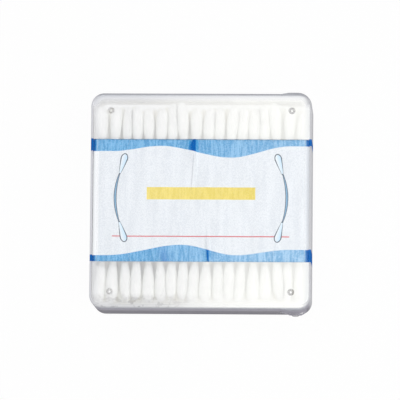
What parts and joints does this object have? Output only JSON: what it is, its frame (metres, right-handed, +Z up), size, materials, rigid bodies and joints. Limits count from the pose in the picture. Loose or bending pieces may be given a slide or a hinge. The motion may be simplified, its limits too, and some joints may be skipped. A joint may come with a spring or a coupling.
{
  "type": "cotton swab box",
  "caption": "Shallow clear plastic box with a pin-hinged lid, packed with double-ended cotton swabs in layers, with a printed paper sleeve round their middle.",
  "frame": {"origin": "middle of the box's footprint, on the surface that it stands on", "axes": "+Z up through the lid, +X towards the hinge side, Y along the swabs and the hinge pins"},
  "size_m": [0.0824, 0.0834, 0.0275],
  "materials": {
    "clear_plastic": "clear polypropylene with a slight haze",
    "sleeve_paper": "coated paper",
    "blue_print": "printed",
    "yellow_print": "printed",
    "red_print": "printed",
    "line_print": "printed",
    "stick_paper": "rolled paper",
    "cotton": "loose cotton fibre"
  },
  "bodies": {
    "base": {"tray": "clear_plastic", "paper_sleeve": "sleeve_paper", "print_waves": "blue_print", "print_bar": "yellow_print", "print_rule": "red_print", "print_swabs": "line_print", "paper_sticks_1": "stick_paper", "paper_sticks_2": "stick_paper", "paper_sticks_3": "stick_paper", "paper_sticks_4": "stick_paper", "paper_sticks_5": "stick_paper", "paper_sticks_6": "stick_paper", "cotton_heads_1": "cotton", "cotton_heads_2": "cotton", "cotton_heads_3": "cotton", "cotton_heads_4": "cotton", "cotton_heads_5": "cotton", "cotton_heads_6": "cotton"},
    "cover": {"lid": "clear_plastic"}
  },
  "joints": [
    {"name": "lid_hinge", "type": "hinge", "parent": "base", "child": "cover", "pos_m": [0.03517, 0, 0.01051], "axis": [0, 1, 0], "range_deg": [0, 90]}
  ]
}
